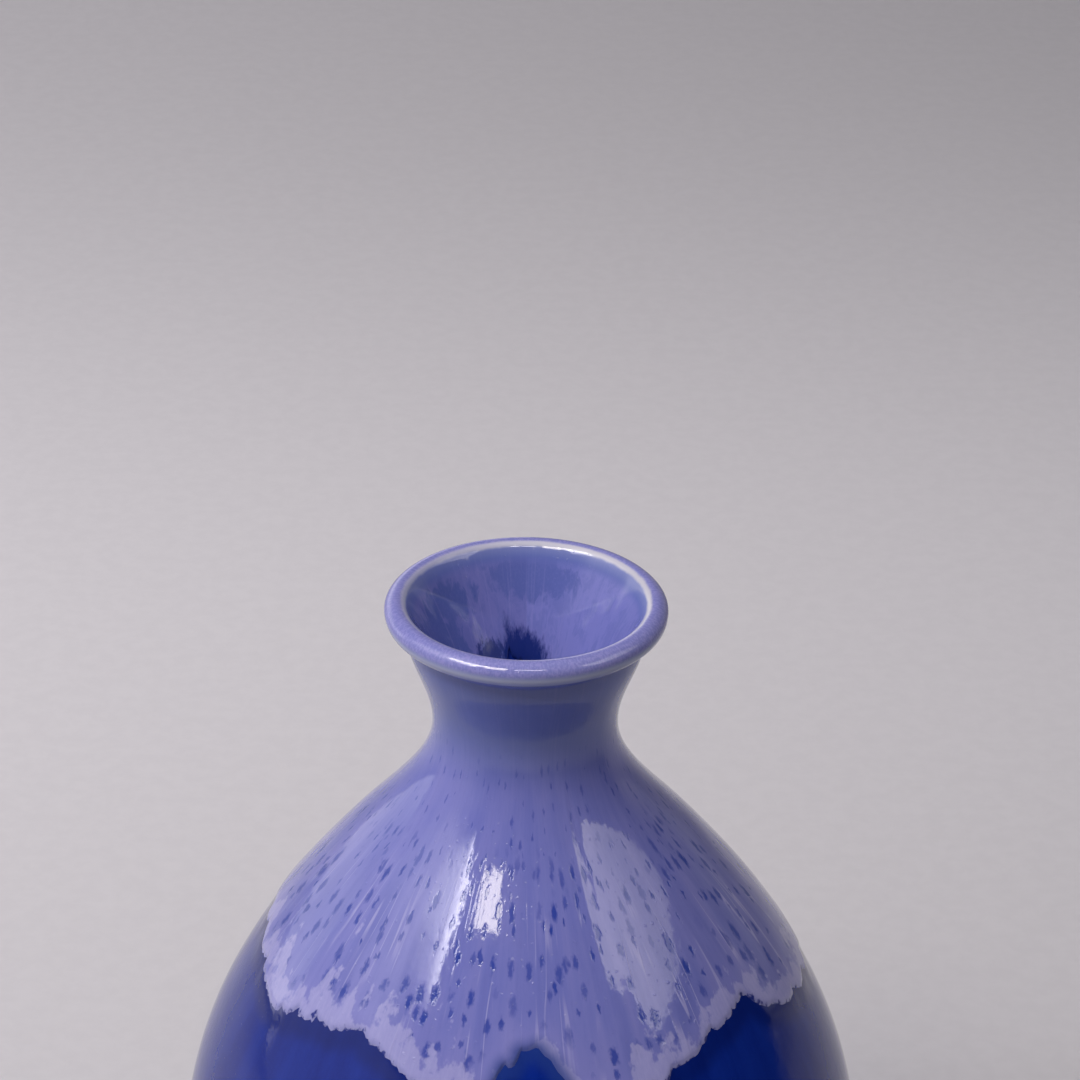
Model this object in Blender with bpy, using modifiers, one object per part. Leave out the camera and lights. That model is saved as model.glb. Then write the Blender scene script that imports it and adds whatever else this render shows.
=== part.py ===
"""Ceramic bud vase: a thrown stoneware bottle with a rolled lip, and the glaze coats fired onto it.

The vase is turned about +Z and stands on z = 0, with the origin under the middle of its foot.
One outline, the skin, runs from the middle of the inside floor up the throat, over the lip and
down to the foot. Every piece lies at its own depth under that skin:

    overglaze     0 to one coat deep         from the throat over the lip to a dripping edge
    base_glaze    one coat and a gap deeper  outside, from under the lip to above the foot
    liner_glaze   one coat and a gap deeper  inside, from the throat across the floor
    clay_body     two coats and gaps deep    but only one of each at the lip
    foot_glaze    its own thin disc, in the recess inside the foot ring
"""

import math
from typing import NamedTuple

import bmesh
import bpy
from mathutils import Vector


class Knot(NamedTuple):
    """A place the skin passes, in metres and degrees. A reach is how far it keeps to its heading."""

    radius: float
    height: float
    heading: float
    reach_back: float
    reach_ahead: float


HEIGHT = 0.150
COAT = 0.0004
GAP = 0.0003
LAYER = COAT + GAP

# The lip is part of an oval roll, from its inner side over the top to its underside.
LIP_RADIUS = 0.01816
LIP_HALF_WIDTH = 0.00174
LIP_HALF_HEIGHT = 0.00189
LIP_FIRST = 146
LIP_LAST = -70
LIP_STEPS = 8
LIP_REACH_BACK = 0.0060
LIP_REACH_AHEAD = 0.0009

# The inside, going up: the floor's edge, the belly, under the shoulder, the throat.
INNER_KNOTS = (
    Knot(0.0160, 0.0118, 0, 0, 0.0140),
    Knot(0.0443, 0.0580, 90, 0.0240, 0.0180),
    Knot(0.0255, 0.1010, 129.5, 0.0130, 0.0120),
    Knot(0.0084, 0.1260, 90, 0.0080, 0.0080),
)
INNER_COUNTS = (4, 4, 4, 7)

# The outside, going down: the root of the flare, the waist, the shoulder, the belly, the foot.
OUTER_KNOTS = (
    Knot(0.0170, 0.1446, 262, 0.0010, 0.0042),
    Knot(0.01317, 0.1308, 270, 0.0056, 0.0076),
    Knot(0.03045, 0.1051, 309.5, 0.0159, 0.0132),
    Knot(0.0507, 0.0580, 270, 0.0183, 0.0240),
    Knot(0.0318, 0.0058, 212, 0.0130, 0),
)
OUTER_COUNTS = (2, 3, 5, 5, 5)

FOOT_RING_OUTER = 0.0300
FOOT_RING_INNER = 0.0265
FOOT_CHAMFER = 0.0008
FOOT_COVE = 0.0034
RECESS_RADIUS = 0.0250
RECESS_HEIGHT = 0.0048
RECESS_RISE = 0.0008
FOOT_GLAZE_RADIUS = 0.0238

BASE_TOP = 0.1436
BASE_BOTTOM = 0.0072
LINER_TOP = 0.1434
BARE_LIP_FROM = 0.1447
BARE_LIP_BLEND = 0.0012

# An edge of the overglaze is a row of lobes: by turns a notch and a lobe's tip, each with its
# turn in degrees from the front towards +X, and its height in millimetres.
DRIP_EDGE = (
    (-110, 95.5),
    (-66, 92.0),
    (-39, 96.0),
    (-16, 90.0),
    (4, 99.2),
    (24, 90.0),
    (58, 96.0),
    (98, 88.0),
    (128, 94.5),
    (150, 90.5),
    (176, 97.0),
    (204, 90.0),
    (222, 95.0),
    (240, 91.0),
)
THROAT_EDGE = (
    (-40, 130.0),
    (60, 125.0),
    (120, 132.0),
    (152, 128.0),
    (188, 138.5),
    (220, 128.0),
)
EVEN_TOP = 0.1396
EVEN_BOTTOM = 0.1060
THROAT_ROWS = 4
DRIP_ROWS = 3

STEPS = 36
DRIP_STEPS = 72
MERGE = 0.00005


def stretch(a, b, count):
    """The points of a cubic curve from knot a to knot b, without its start."""
    turn_a = math.radians(a.heading)
    turn_b = math.radians(b.heading)
    start = Vector((a.radius, a.height))
    end = Vector((b.radius, b.height))
    ahead = start + a.reach_ahead * Vector((math.cos(turn_a), math.sin(turn_a)))
    back = end - b.reach_back * Vector((math.cos(turn_b), math.sin(turn_b)))
    points = []
    for i in range(1, count + 1):
        t = i / count
        u = 1 - t
        point = u**3 * start + 3 * u * u * t * ahead + 3 * u * t * t * back + t**3 * end
        points.append(tuple(point))
    return points


def lip_knot(degrees):
    """The lip's place at an angle round its roll, seen with the air outside it on the left."""
    turn = math.radians(degrees)
    run = -LIP_HALF_HEIGHT * math.cos(turn)
    slide = LIP_HALF_WIDTH * math.sin(turn)
    return Knot(
        LIP_RADIUS + LIP_HALF_WIDTH * math.cos(turn),
        HEIGHT - LIP_HALF_HEIGHT + LIP_HALF_HEIGHT * math.sin(turn),
        math.degrees(math.atan2(run, slide)),
        LIP_REACH_BACK,
        LIP_REACH_AHEAD,
    )


def inner_skin():
    """From the middle of the floor, out and up the inside to the start of the lip."""
    knots = INNER_KNOTS + (lip_knot(LIP_FIRST),)
    floor_edge = (knots[0].radius, knots[0].height)
    points = [(0.0, knots[0].height), floor_edge]
    for a, b, count in zip(knots, knots[1:], INNER_COUNTS):
        points += stretch(a, b, count)
    return points


def lip_skin():
    turns = [LIP_FIRST + (LIP_LAST - LIP_FIRST) * i / LIP_STEPS for i in range(1, LIP_STEPS + 1)]
    return [tuple(lip_knot(turn)[:2]) for turn in turns]


def outer_skin():
    """From the underside of the lip down the outside to the foot."""
    knots = (lip_knot(LIP_LAST),) + OUTER_KNOTS
    points = []
    for a, b, count in zip(knots, knots[1:], OUTER_COUNTS):
        points += stretch(a, b, count)
    return points


def sunk(path, depth):
    """The path moved away from the air by depth, which is a length or a function of a point."""
    result = []
    for i, point in enumerate(path):
        before = Vector(path[max(i - 1, 0)])
        after = Vector(path[min(i + 1, len(path) - 1)])
        along = (after - before).normalized()
        distance = depth(point) if callable(depth) else depth
        radius = point[0] + along.y * distance if point[0] > 0 else 0.0
        result.append((radius, point[1] - along.x * distance))
    return result


def clay_depth(point):
    """Two layers deep, easing to one at the lip, whose rim only the overglaze covers."""
    bare = (point[1] - BARE_LIP_FROM) / BARE_LIP_BLEND
    return (2 - min(max(bare, 0.0), 1.0)) * LAYER


def crossing(path, height):
    """The path's point at this height, on its first segment that spans it."""
    for a, b in zip(path, path[1:]):
        if a[1] != b[1] and min(a[1], b[1]) <= height <= max(a[1], b[1]):
            share = (height - a[1]) / (b[1] - a[1])
            return (a[0] + share * (b[0] - a[0]), height)
    raise ValueError(f"the outline doesn't reach {height}")


def lobed(edge, degrees):
    """The height in metres of a lobed edge: sharp at its notches and round at its tips."""
    first = edge[0][0]
    turn = (degrees - first) % 360
    marks = [(angle - first, height) for angle, height in edge] + [(360, edge[0][1])]
    for i, (a, b) in enumerate(zip(marks, marks[1:])):
        if a[0] <= turn <= b[0]:
            notch, tip = (a, b) if i % 2 == 0 else (b, a)
            share = (turn - notch[0]) / (tip[0] - notch[0])
            return (notch[1] + (tip[1] - notch[1]) * math.sin(share * math.pi / 2)) / 1000
    raise ValueError(f"the edge has no lobe at {degrees}")


def collection(name):
    made = bpy.data.collections.new(name)
    bpy.context.scene.collection.children.link(made)
    return made


def material(name, colour, roughness):
    made = bpy.data.materials.new(name)
    made.use_nodes = True
    shader = made.node_tree.nodes["Principled BSDF"]
    shader.inputs["Base Color"].default_value = (*colour, 1.0)
    shader.inputs["Roughness"].default_value = roughness
    shader.inputs["Metallic"].default_value = 0.0
    return made


def placed(name, mesh, finish, group):
    made = bpy.data.objects.new(name, mesh)
    mesh.materials.append(finish)
    group.objects.link(made)
    return made


def turned(name, path, finish, group):
    """The path turned about +Z."""
    mesh = bpy.data.meshes.new(name)
    edges = [(i, i + 1) for i in range(len(path) - 1)]
    mesh.from_pydata([(radius, 0.0, height) for radius, height in path], edges, [])
    made = placed(name, mesh, finish, group)
    screw = made.modifiers.new("turn", "SCREW")
    screw.steps = STEPS
    screw.render_steps = STEPS
    screw.use_merge_vertices = True
    screw.merge_threshold = MERGE
    screw.use_smooth_shade = True
    return made


def thickened(coat):
    """Gives a coat its thickness, on the side away from the air."""
    solidify = coat.modifiers.new("coat", "SOLIDIFY")
    solidify.thickness = COAT
    solidify.offset = -1.0
    solidify.use_even_offset = True
    return coat


def make_clay_body(skin, group):
    """The thrown pot with its trimmed foot ring, bare where it stands."""
    foot = [
        (FOOT_RING_OUTER, FOOT_COVE),
        (FOOT_RING_OUTER, FOOT_CHAMFER),
        (FOOT_RING_OUTER - FOOT_CHAMFER, 0.0),
        (FOOT_RING_INNER + FOOT_CHAMFER, 0.0),
        (FOOT_RING_INNER, FOOT_CHAMFER),
        (RECESS_RADIUS, RECESS_HEIGHT),
        (0.0, RECESS_HEIGHT + RECESS_RISE),
    ]
    finish = material("stoneware", (0.53, 0.43, 0.33), 0.8)
    return turned("clay_body", sunk(skin, clay_depth) + foot, finish, group)


def make_base_glaze(outer, group):
    """The cobalt coat outside, from under the lip to just above the foot."""
    middle = [point for point in outer if BASE_BOTTOM < point[1] < BASE_TOP]
    path = [crossing(outer, BASE_TOP)] + middle + [crossing(outer, BASE_BOTTOM)]
    finish = material("cobalt_glaze", (0.012, 0.026, 0.165), 0.08)
    return thickened(turned("base_glaze", sunk(path, LAYER), finish, group))


def make_liner_glaze(inner, group):
    """The cobalt coat inside, from the throat down and across the floor."""
    path = [point for point in inner if point[1] < LINER_TOP] + [crossing(inner, LINER_TOP)]
    finish = material("cobalt_liner_glaze", (0.015, 0.03, 0.15), 0.12)
    return thickened(turned("liner_glaze", sunk(path, LAYER), finish, group))


def overglaze_column(degrees, inner, even, outer):
    """The coat's outline at one turn: up the outside from a drip, over the lip, into the throat."""
    drip = lobed(DRIP_EDGE, degrees)
    throat = lobed(THROAT_EDGE, degrees)
    drips = [
        crossing(outer, drip + (EVEN_BOTTOM - drip) * i / DRIP_ROWS) for i in range(DRIP_ROWS)
    ]
    throats = [
        crossing(inner, EVEN_TOP + (throat - EVEN_TOP) * i / THROAT_ROWS)
        for i in range(1, THROAT_ROWS + 1)
    ]
    return drips + even + throats


def make_overglaze(inner, lip, outer, group):
    """The periwinkle coat: a flat grid wrapped round the vase, its long seam closed."""
    falling = inner[::-1]
    even = [crossing(outer, EVEN_BOTTOM)]
    even += [point for point in (lip + outer)[::-1] if point[1] > EVEN_BOTTOM]
    even += [point for point in falling if point[1] > EVEN_TOP]
    even += [crossing(falling, EVEN_TOP)]
    turns = [360 * i / DRIP_STEPS for i in range(DRIP_STEPS)]
    columns = [overglaze_column(turn, falling, even, outer) for turn in turns]
    last_row = len(columns[0]) - 1
    shape = bmesh.new()
    bmesh.ops.create_grid(shape, x_segments=DRIP_STEPS, y_segments=last_row, size=0.5)
    for vertex in shape.verts:
        step = round((vertex.co.x + 0.5) * DRIP_STEPS) % DRIP_STEPS
        radius, height = columns[step][round((vertex.co.y + 0.5) * last_row)]
        turn = math.radians(turns[step])
        vertex.co = (radius * math.sin(turn), -radius * math.cos(turn), height)
    bmesh.ops.remove_doubles(shape, verts=shape.verts, dist=MERGE)
    mesh = bpy.data.meshes.new("overglaze")
    shape.to_mesh(mesh)
    shape.free()
    mesh.shade_smooth()
    finish = material("periwinkle_glaze", (0.17, 0.19, 0.48), 0.1)
    return thickened(placed("overglaze", mesh, finish, group))


def make_foot_glaze(group):
    """A thin disc of glaze, domed with the recess it lies in."""
    rise = RECESS_RISE * (1 - FOOT_GLAZE_RADIUS / RECESS_RADIUS)
    face = RECESS_HEIGHT - LAYER
    path = [(FOOT_GLAZE_RADIUS, face + rise), (0.0, face + RECESS_RISE)]
    finish = material("cobalt_foot_glaze", (0.015, 0.03, 0.15), 0.12)
    return thickened(turned("foot_glaze", path, finish, group))


def main():
    for old in list(bpy.data.objects):
        bpy.data.objects.remove(old, do_unlink=True)
    vase = collection("ceramic_bud_vase")
    inner = inner_skin()
    lip = lip_skin()
    outer = outer_skin()
    make_clay_body(inner + lip + outer, vase)
    make_base_glaze(outer, vase)
    make_liner_glaze(inner, vase)
    make_overglaze(inner, lip, outer, vase)
    make_foot_glaze(vase)


main()
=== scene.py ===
"""Looks of the ceramic bud vase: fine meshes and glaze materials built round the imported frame.

Lengths are in millimetres until a mesh is made. A turn is an angle in degrees about +Z, from the
front (-Y) towards +X. The run is the distance along the skin from the lip's crest, positive down
the outside and negative into the throat. Lift is the height over the skin.
"""

import math

import bpy
import numpy as np
from mathutils import Matrix, Vector


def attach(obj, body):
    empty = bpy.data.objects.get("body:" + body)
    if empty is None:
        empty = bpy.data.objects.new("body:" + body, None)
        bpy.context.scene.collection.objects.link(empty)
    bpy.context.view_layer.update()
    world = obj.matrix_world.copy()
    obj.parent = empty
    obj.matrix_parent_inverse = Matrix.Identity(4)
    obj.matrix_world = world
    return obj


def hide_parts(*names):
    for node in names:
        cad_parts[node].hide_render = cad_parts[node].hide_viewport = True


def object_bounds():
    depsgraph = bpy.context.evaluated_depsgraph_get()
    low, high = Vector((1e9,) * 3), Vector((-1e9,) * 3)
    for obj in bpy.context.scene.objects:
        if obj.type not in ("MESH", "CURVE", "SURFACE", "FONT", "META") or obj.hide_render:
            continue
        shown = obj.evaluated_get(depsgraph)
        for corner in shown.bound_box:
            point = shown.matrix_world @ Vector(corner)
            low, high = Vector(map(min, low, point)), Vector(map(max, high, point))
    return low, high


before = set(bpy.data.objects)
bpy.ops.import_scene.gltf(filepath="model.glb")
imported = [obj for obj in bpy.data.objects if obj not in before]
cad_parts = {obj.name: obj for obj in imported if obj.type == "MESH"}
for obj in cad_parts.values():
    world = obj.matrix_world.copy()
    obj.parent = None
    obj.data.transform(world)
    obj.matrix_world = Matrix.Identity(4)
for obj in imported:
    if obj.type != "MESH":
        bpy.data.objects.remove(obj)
CAD_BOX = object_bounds()
MM = 0.001

# ---------------------------------------------------------------- outline, taken from the frame
HEIGHT = CAD_BOX[1].z / MM
BELLY = CAD_BOX[1].x / MM
SCALE = HEIGHT / 150.0
# How deep under the skin the lower part of the base coat lies.
LAYER = 0.7

LIP_RADIUS = 18.16 * SCALE
LIP_HALF_WIDTH = 1.74 * SCALE
LIP_HALF_HEIGHT = 1.89 * SCALE
# Where the roll of the lip starts inside and ends outside, in degrees round its section.
LIP_FIRST = 146.0
LIP_LAST = -70.0
LIP_REACH_BACK = 6.0
LIP_REACH_AHEAD = 0.9

# Knots of the skin: radius, height, heading in degrees, reach back, reach ahead.
INNER_KNOTS = (
    (16.0, 11.8, 0, 0, 14.0),
    (44.3, 58.0, 90, 24.0, 18.0),
    (25.5, 101.0, 129.5, 13.0, 12.0),
    (8.4, 126.0, 90, 8.0, 8.0),
)
OUTER_KNOTS = (
    (17.0, 144.6, 262, 1.0, 4.2),
    (13.17, 130.8, 270, 5.6, 7.6),
    (30.45, 105.1, 309.5, 15.9, 13.2),
    (BELLY / SCALE + LAYER, 58.0, 270, 18.3, 24.0),
    (31.8, 5.8, 212, 13.0, 0),
)

# Lower edge of the overglaze: turn, height. The last entry meets the first.
DRIP_EDGE = (
    (-128, 92.5),
    (-108, 95.4),
    (-88, 94.5),
    (-72, 93.0),
    (-64, 92.1),
    (-56, 93.8),
    (-46, 94.8),
    (-39, 95.8),
    (-31, 94.8),
    (-24, 93.0),
    (-14, 90.6),
    (-7, 92.6),
    (-3.4, 95.0),
    (0, 96.8),
    (3.6, 97.8),
    (6.2, 96.8),
    (8.6, 95.0),
    (10.6, 93.0),
    (14, 91.2),
    (22, 90.2),
    (31, 91.4),
    (38, 93.3),
    (48, 94.7),
    (55, 95.9),
    (58.5, 96.2),
    (62, 94.4),
    (68, 92.0),
    (78, 90.0),
    (96, 88.2),
    (114, 90.5),
    (128, 94.5),
    (150, 90.5),
    (170, 95.0),
    (178, 96.6),
    (188, 93.0),
    (204, 90.0),
    (222, 94.6),
)
# Edge of the overglaze inside the throat.
THROAT_EDGE = (
    (-40, 129.0),
    (60, 126.0),
    (120, 131.0),
    (150, 131.0),
    (160, 134.2),
    (168, 136.6),
    (178, 138.4),
    (188, 139.0),
    (191.0, 139.2),
    (193.2, 140.4),
    (195.6, 138.2),
    (199, 136.2),
    (207, 133.0),
    (222, 133.5),
    (240, 129.0),
)

SEED = 41
rng = np.random.default_rng(SEED)


def smoothstep(low, high, value):
    t = np.clip((value - low) / (high - low), 0.0, 1.0)
    return t * t * (3 - 2 * t)


def cubic(a, b, count):
    """Points of the cubic from knot a to knot b, without its start."""
    t = (np.arange(1, count + 1) / count)[:, None]
    start, end = np.array(a[:2], float), np.array(b[:2], float)
    turn_a, turn_b = math.radians(a[2]), math.radians(b[2])
    ahead = start + a[4] * np.array([math.cos(turn_a), math.sin(turn_a)])
    back = end - b[3] * np.array([math.cos(turn_b), math.sin(turn_b)])
    u = 1 - t
    return u**3 * start + 3 * u * u * t * ahead + 3 * u * t * t * back + t**3 * end


def lip_knot(degrees):
    turn = math.radians(degrees)
    heading = math.degrees(
        math.atan2(-LIP_HALF_HEIGHT * math.cos(turn), LIP_HALF_WIDTH * math.sin(turn))
    )
    radius = LIP_RADIUS + LIP_HALF_WIDTH * math.cos(turn)
    height = HEIGHT - LIP_HALF_HEIGHT + LIP_HALF_HEIGHT * math.sin(turn)
    return (radius, height, heading, LIP_REACH_BACK * SCALE, LIP_REACH_AHEAD * SCALE)


def scaled(knots):
    return [tuple(v if i == 2 else v * SCALE for i, v in enumerate(k)) for k in knots]


FLOOR_STEPS = 40
CURVE_STEPS = 160


class Skin:
    """The outline from the middle of the inside floor over the lip to the foot, by its run."""

    def __init__(self):
        inner = scaled(INNER_KNOTS) + [lip_knot(LIP_FIRST)]
        outer = [lip_knot(LIP_LAST)] + scaled(OUTER_KNOTS)
        parts = [np.linspace((0.0, inner[0][1]), inner[0][:2], FLOOR_STEPS)]
        parts += [cubic(a, b, CURVE_STEPS) for a, b in zip(inner, inner[1:])]
        turns = np.radians(np.linspace(LIP_FIRST, LIP_LAST, CURVE_STEPS)[1:])
        lip = np.stack(
            [
                LIP_RADIUS + LIP_HALF_WIDTH * np.cos(turns),
                HEIGHT - LIP_HALF_HEIGHT + LIP_HALF_HEIGHT * np.sin(turns),
            ],
            1,
        )
        parts.append(lip)
        parts += [cubic(a, b, CURVE_STEPS) for a, b in zip(outer, outer[1:])]
        points = np.concatenate(parts)
        steps = np.hypot(*np.diff(points, axis=0).T)
        run = np.concatenate([[0.0], np.cumsum(steps)])
        crest = int(points[:, 1].argmax())
        self.run = run - run[crest]
        self.radius, self.height = points.T
        along = np.gradient(points, self.run, axis=0)
        along /= np.hypot(*along.T)[:, None]
        self.out_r, self.out_z = -along[:, 1], along[:, 0]
        self.crest = crest
        self.first, self.last = self.run[0], self.run[-1]

    def at(self, run, lift=0.0):
        """Radius and height at a run and lift."""
        radius = np.interp(run, self.run, self.radius) + lift * np.interp(run, self.run, self.out_r)
        height = np.interp(run, self.run, self.height) + lift * np.interp(run, self.run, self.out_z)
        return radius, height

    def run_outside(self, height):
        k = self.crest
        return np.interp(-np.asarray(height), -self.height[k:], self.run[k:])

    def run_inside(self, height):
        k = self.crest + 1
        start = int(self.height[:k].argmin())
        return np.interp(height, self.height[start:k], self.run[start:k])


skin = Skin()


def smooth_loop(points, degrees):
    """A smooth closed curve through (turn, value) points, with no overshoot at peaks."""
    xs = np.array([p[0] for p in points], float)
    ys = np.array([p[1] for p in points], float)
    xs = np.concatenate([xs - 360, xs, xs + 360])
    ys = np.tile(ys, 3)
    h = np.diff(xs)
    d = np.diff(ys) / h
    slope = np.zeros_like(xs)
    same = d[:-1] * d[1:] > 0
    w1, w2 = 2 * h[1:] + h[:-1], h[1:] + 2 * h[:-1]
    slope[1:-1][same] = ((w1 + w2)[same]) / (w1[same] / d[:-1][same] + w2[same] / d[1:][same])
    x = (np.asarray(degrees, float) - points[0][0]) % 360 + points[0][0]
    i = np.clip(np.searchsorted(xs, x, side="right") - 1, 0, len(h) - 1)
    t = (x - xs[i]) / h[i]
    return (
        ys[i] * (1 + 2 * t) * (1 - t) ** 2
        + slope[i] * h[i] * t * (1 - t) ** 2
        + ys[i + 1] * t * t * (3 - 2 * t)
        + slope[i + 1] * h[i] * t * t * (t - 1)
    )


# Widths and depths of the small lobes, as shares of their spacing and depth, and their mean height.
TOOTH_WIDTHS = (0.35, 1.75)
TOOTH_DEPTHS = (0.1, 1.0)
TOOTH_MEAN = 0.16


def teeth(spacing, depth, sharpness):
    """Small lobes for a running edge, as a function of turn that averages about 0."""
    marks = [0.0]
    while marks[-1] < 360:
        marks.append(marks[-1] + rng.uniform(*TOOTH_WIDTHS) * spacing)
    marks = np.array(marks[:-1] + [360.0])
    depths = depth * rng.uniform(*TOOTH_DEPTHS, len(marks) - 1)

    def height(degrees):
        turn = np.asarray(degrees) % 360
        i = np.clip(np.searchsorted(marks, turn, side="right") - 1, 0, len(depths) - 1)
        share = (turn - marks[i]) / (marks[i + 1] - marks[i])
        return depths[i] * np.abs(2 * share - 1) ** sharpness - TOOTH_MEAN * depth

    return height


coarse_teeth = teeth(9.0, 1.5, 1.6)
fine_teeth = teeth(2.2, 0.45, 1.3)
# How far round the throat's lobes are turned from those of the drip edge.
THROAT_OFFSET = 31.0


def drip_height(degrees):
    return SCALE * (smooth_loop(DRIP_EDGE, degrees) + coarse_teeth(degrees) + fine_teeth(degrees))


def throat_height(degrees):
    return SCALE * (smooth_loop(THROAT_EDGE, degrees) - 0.5 * coarse_teeth(degrees + THROAT_OFFSET))


# ---------------------------------------------------------------- meshes
RIPPLE_WAVES = 14
RIPPLE_AROUND = (2, 26)
RIPPLE_ALONG = (0.03, 0.30)


def ripple(turns, run, seed, amount):
    """A smooth unevenness of the glaze, longer down the pot than across, in millimetres."""
    local = np.random.default_rng(seed)
    total = np.zeros(np.broadcast(turns, run).shape)
    angle = np.radians(turns)
    for _ in range(RIPPLE_WAVES):
        around = int(local.integers(*RIPPLE_AROUND))
        along = local.uniform(*RIPPLE_ALONG)
        phase = local.uniform(0, 2 * math.pi, 2)
        size = amount / (1 + around / 9)
        total += size * np.sin(around * angle + phase[0]) * np.sin(along * run + phase[1])
    return total


# Ridges: turn, half width in degrees, height. The last two edge the large reflection on the right.
RIDGE_COUNT = 34
RIDGES = [
    (rng.uniform(0, 360), rng.uniform(1.4, 2.6), rng.uniform(0.004, 0.015)) for _ in range(RIDGE_COUNT)
]
RIDGES += [(23.0, 1.2, 0.030), (26.5, 1.4, -0.020)]


def ridges(turns, run):
    """Long low runs of thicker glaze, each down one meridian with a slight wander."""
    total = np.zeros(np.broadcast(turns, run).shape)
    for number, (turn, width, size) in enumerate(RIDGES):
        wander = 0.9 * np.sin(run / 9.0 + number)
        away = (turns - turn + wander + 180) % 360 - 180
        total += size * np.exp(-((away / width) ** 2))
    return total * smoothstep(20, 34, run)


def throwing_rings(run, amount):
    return amount * (np.sin(run / 1.37) + 0.6 * np.sin(run / 0.83 + 1.0)) * 0.5


def mesh_piece(name, radius, height, turns, loop, material, slot, node, attributes):
    """A turned mesh: rows of (radius, height) at each turn. With loop, the last row joins the first;
    otherwise the first and last rows lie on the axis and become single points."""
    angle = np.radians(turns)
    x = radius * np.sin(angle)
    y = -radius * np.cos(angle)
    points = np.stack([x, y, np.broadcast_to(height, x.shape)], 2) * MM
    rows, cols = x.shape
    index = np.arange(rows * cols).reshape(rows, cols)
    if not loop:
        index[0, :] = index[0, 0]
        index[-1, :] = index[-1, 0]
    ahead = np.roll(index, -1, axis=0) if loop else index[1:]
    here = index if loop else index[:-1]
    quads = np.stack([here, ahead, np.roll(ahead, -1, 1), np.roll(here, -1, 1)], 2).reshape(-1, 4)
    used, packed = np.unique(quads, return_inverse=True)
    quads = packed.reshape(-1, 4)
    coordinates = points.reshape(-1, 3)[used]
    faces = []
    for face in quads.tolist():
        kept = [v for i, v in enumerate(face) if v != face[i - 1]]
        faces.append(kept)
    mesh = bpy.data.meshes.new(name)
    mesh.from_pydata(coordinates.tolist(), [], faces)
    mesh.shade_smooth()
    for key, values in attributes.items():
        kind = "FLOAT_VECTOR" if values.ndim == 3 else "FLOAT"
        made = mesh.attributes.new(key, kind, "POINT")
        flat = values.reshape(rows * cols, -1)[used].astype(np.float32)
        made.data.foreach_set("vector" if kind == "FLOAT_VECTOR" else "value", flat.ravel())
    mesh.materials.append(material)
    mesh.validate()
    piece = bpy.data.objects.new(name, mesh)
    bpy.context.scene.collection.objects.link(piece)
    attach(piece, "root")
    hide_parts(node)


def flow_of(turns, run):
    """Where a point lies round and along the pot, as a seamless coordinate for the patterns."""
    angle = np.radians(np.broadcast_to(turns, run.shape))
    return np.stack([np.sin(angle), -np.cos(angle), run / 100.0], 2)


def drip_run(degrees):
    return skin.run_outside(drip_height(degrees))


def throat_run(degrees):
    return skin.run_inside(throat_height(degrees))


EDGE_SAMPLES = 720
FAR = 99.0
# Points farther than this in height from the edge's mean count as far from it.
EDGE_REACH = 24 * SCALE
BLOCK = 4000


def gap_to_edge(radius, height, turns, edge_run):
    """Distance of each point of a grid from an edge of the coat, in millimetres."""
    edge_turns = np.radians(np.linspace(0, 360, EDGE_SAMPLES, endpoint=False))
    edge_radius, edge_height = skin.at(edge_run(np.degrees(edge_turns)))
    edge = np.stack([edge_radius * np.sin(edge_turns), -edge_radius * np.cos(edge_turns), edge_height], 1)
    angle = np.radians(turns)
    points = np.stack([radius * np.sin(angle), -radius * np.cos(angle), height], 2).reshape(-1, 3)
    gap = np.full(len(points), FAR)
    close = np.where(np.abs(points[:, 2] - edge_height.mean()) < EDGE_REACH)[0]
    for block in np.array_split(close, max(1, len(close) // BLOCK)):
        away = points[block][:, None, :] - edge[None]
        gap[block] = np.sqrt((away**2).sum(2).min(1))
    return gap.reshape(radius.shape)


# Lifts of the coats' faces: the base coat under the overglaze and below it, and both coats' backs.
BASE_LIFT_HIGH = -0.40
BASE_LIFT_LOW = -LAYER
OVERGLAZE_BACK = BASE_LIFT_HIGH - 0.06
BASE_BACK = BASE_LIFT_LOW - 0.46


def base_lift(height):
    return BASE_LIFT_LOW + (BASE_LIFT_HIGH - BASE_LIFT_LOW) * smoothstep(64 * SCALE, 84 * SCALE, height)


# Beads of thicker glaze: height, middle and half width, by run or by the distance from an edge.
EDGE_BEAD = (0.05, 2.6, 1.6)
LIP_BEAD = (0.09, 2.15, 0.55)
SHOULDER_SWELLING = (0.14, 46.0, 6.0)
FOOT_BEAD = (0.16, 1.5, 1.0)
UNDERLAP = (0.20, -0.6, 2.2)
# Distances over which the coats round off at the throat and at the foot.
THROAT_ROUND = 0.9
FOOT_ROUND = 0.7


def bead(value, height, middle, half_width):
    return height * np.exp(-(((value - middle) / half_width) ** 2))


def rounded_end(gap, reach):
    """1 at an edge and 0 from the reach on, as a quarter circle."""
    return 1 - np.sqrt(1 - (1 - np.clip(gap / reach, 0, 1)) ** 2)


def edge_profile(gap):
    """Lift of the overglaze near its edge: a soft end, then a low swollen bead."""
    return OVERGLAZE_BACK * (1 - smoothstep(-0.3, 1.5, gap)) + bead(gap, *EDGE_BEAD)


# How far the coat runs on into the throat as a thin veil, past the edge of its colour.
THROAT_VEIL = 4.6
# Distances of the rows of points from the coat's edge on the shoulder and in the throat.
DRIP_ROWS = np.array([0, 0.06, 0.16, 0.3, 0.5, 0.75, 1.05, 1.4, 1.8, 2.3, 3.0, 4.0, 5.2])
THROAT_ROWS = np.array([0, 0.08, 0.22, 0.45, 0.8, 1.4, 2.4])
# Heights where the rows turn from following an edge to being level.
LEVEL_OUTSIDE = 104.5 * SCALE
LEVEL_INSIDE = 143.0 * SCALE
LIP_BOTTOM = 144.6 * SCALE


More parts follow.
